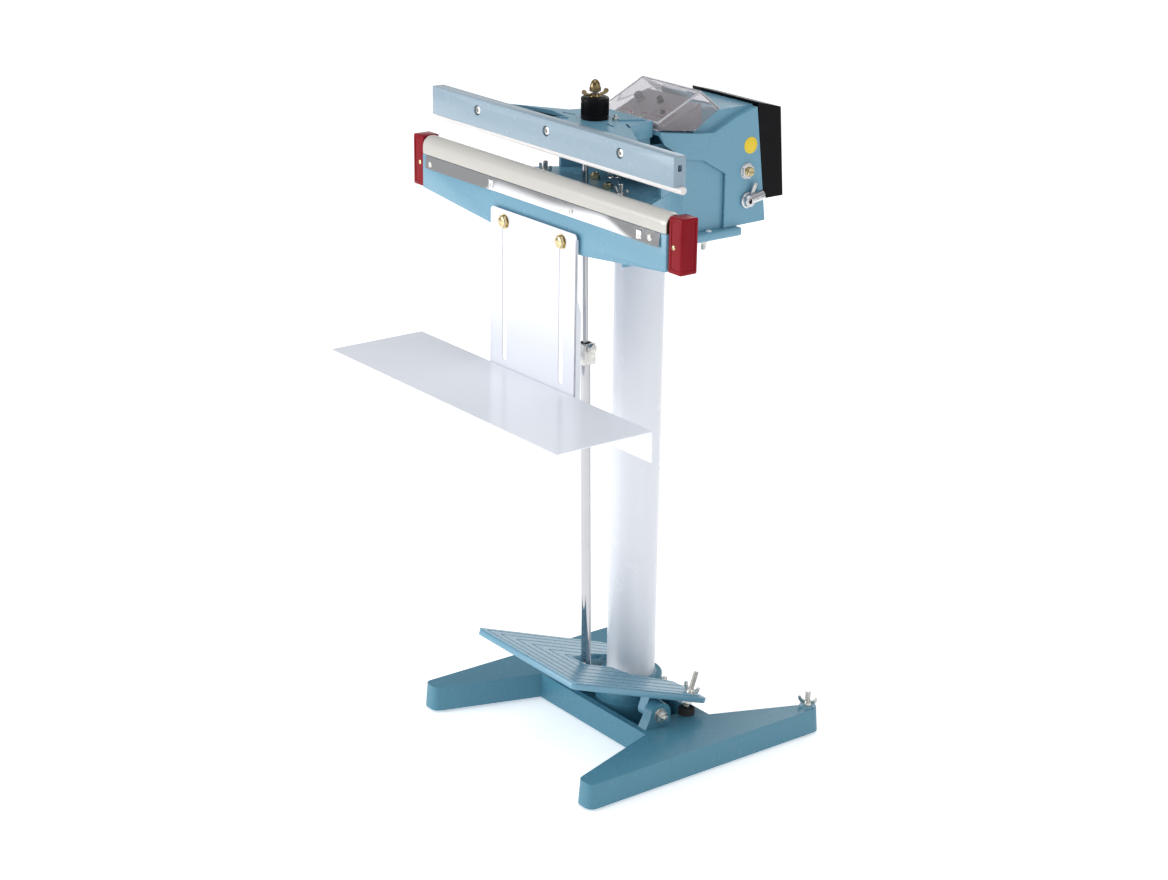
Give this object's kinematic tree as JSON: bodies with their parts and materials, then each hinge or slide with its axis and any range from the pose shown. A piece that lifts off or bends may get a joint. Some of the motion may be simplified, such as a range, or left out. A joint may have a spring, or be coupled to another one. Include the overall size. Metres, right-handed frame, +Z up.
{
  "type": "impulse heat sealer",
  "caption": "Foot-pedal impulse bag sealer: jaw and pivoting sealing arm on a column stand, with pull rod, treadle, bag shelf, timer panel and clear cover.",
  "frame": {"origin": "centre of the bounding box in plan, on the floor under the rubber feet", "axes": "+X along the sealing jaw to the side with the fuse and cable inlet, -Y towards the operator, +Z up"},
  "size_m": [0.515, 0.4654, 0.8258],
  "materials": {
    "blue_paint": "glossy light teal-blue hammer paint on cast metal",
    "column_paint": "satin pale grey paint on steel tube",
    "sheet_paint": "smooth off-white powder coat on thin sheet",
    "black_plastic": "fine-grained black moulding",
    "red_plastic": "glossy dark red moulding",
    "clear_plastic": "clear acrylic with polished faces",
    "panel_plastic": "satin grey-pink printed panel",
    "grey_plastic": "grey moulded knob",
    "chrome": "bright chrome plate",
    "zinc": "bright zinc-plated steel",
    "yellow_zinc": "yellow passivated zinc plate",
    "steel": "ground steel",
    "rubber": "black rubber",
    "silicone": "translucent white silicone",
    "ptfe": "cream PTFE-coated glass cloth",
    "bakelite": "brown moulded insulator",
    "copper": "enamelled copper winding",
    "board": "green laminate board"
  },
  "bodies": {
    "root": {"base_casting": "blue_paint", "foot_front_left": "rubber", "foot_front_right": "rubber", "foot_rear_left": "rubber", "foot_rear_right": "rubber", "column_tube": "column_paint", "column_set_screw": "zinc", "toe_wing_bolt_left": "zinc", "toe_wing_bolt_right": "zinc", "pivot_bolt_left": "zinc", "pivot_bolt_right": "zinc", "stop_pad": "rubber", "mounting_flange": "blue_paint", "head_frame": "blue_paint", "arm_pivot_shaft": "steel", "jaw_wing_nut": "zinc", "microswitch": "black_plastic", "jaw_casting": "blue_paint", "plate_bolt_left": "yellow_zinc", "plate_bolt_right": "yellow_zinc", "jaw_insulator": "bakelite", "heating_strip": "steel", "ptfe_cover": "ptfe", "front_strip": "chrome", "end_cap_left": "red_plastic", "end_cap_right": "red_plastic", "head_casing": "blue_paint", "rear_cover": "black_plastic", "fuse_holder": "zinc", "cable_gland": "chrome", "transformer_core": "steel", "transformer_coil": "copper", "timer_board": "board", "control_panel": "panel_plastic", "return_spring": "zinc"},
    "pedal": {"pedal": "blue_paint", "stop_bolt": "zinc", "stop_wing_nut": "zinc"},
    "pull_rod": {"lower_rod": "chrome", "upper_rod": "chrome", "rod_clamp": "zinc", "clamp_bolt": "zinc", "rod_end_nut": "zinc", "rod_yoke": "zinc"},
    "arm": {"upper_arm": "blue_paint", "upper_bar": "blue_paint", "bar_screw_left": "zinc", "bar_screw_middle": "zinc", "bar_screw_right": "zinc", "seal_strip": "silicone", "spring_cup": "black_plastic", "pressure_stud": "steel", "wing_nut": "yellow_zinc", "dome_nut": "yellow_zinc"},
    "cover": {"clear_cover": "clear_plastic"},
    "shelf": {"support_plate": "sheet_paint", "tray": "sheet_paint"},
    "timer": {"timer_knob": "grey_plastic"},
    "mode": {"mode_knob": "black_plastic"}
  },
  "joints": [
    {"name": "pedal_hinge", "type": "hinge", "parent": "root", "child": "pedal", "pos_m": [0, 0.0291, 0.0488], "axis": [1, 0, 0], "range_deg": [0, 16], "stiffness_Nm_per_rad": 4, "springref_deg": -20.05},
    {"name": "rod_slide", "type": "slide", "parent": "root", "child": "pull_rod", "axis": [0, 0.0209, -0.9998], "range_m": [0, 0.01325]},
    {"name": "arm_hinge", "type": "hinge", "parent": "root", "child": "arm", "pos_m": [0, 0.1148, 0.7355], "axis": [1, 0, 0], "range_deg": [0, 5.32], "stiffness_Nm_per_rad": 30, "springref_deg": -17.19, "deforming": ["return_spring"]},
    {"name": "cover_hinge", "type": "hinge", "parent": "root", "child": "cover", "pos_m": [0, 0.1313, 0.7853], "axis": [-1, 0, 0], "range_deg": [0, 100]},
    {"name": "shelf_slide", "type": "slide", "parent": "root", "child": "shelf", "axis": [0, 0, 1], "range_m": [0, 0.045]},
    {"name": "timer_turn", "type": "hinge", "parent": "root", "child": "timer", "pos_m": [-0.0359, 0.083, 0.7855], "axis": [0, -0.3625, 0.932], "range_deg": [0, 300]},
    {"name": "mode_turn", "type": "hinge", "parent": "root", "child": "mode", "pos_m": [-0.0007, 0.0865, 0.7869], "axis": [0, -0.3625, 0.932], "range_deg": [0, 270]}
  ],
  "couplings": [
    {"joint": "rod_slide", "follows": "pedal_hinge", "m_per_rad": 0.04727},
    {"joint": "arm_hinge", "follows": "pedal_hinge", "ratio": 0.3312}
  ]
}
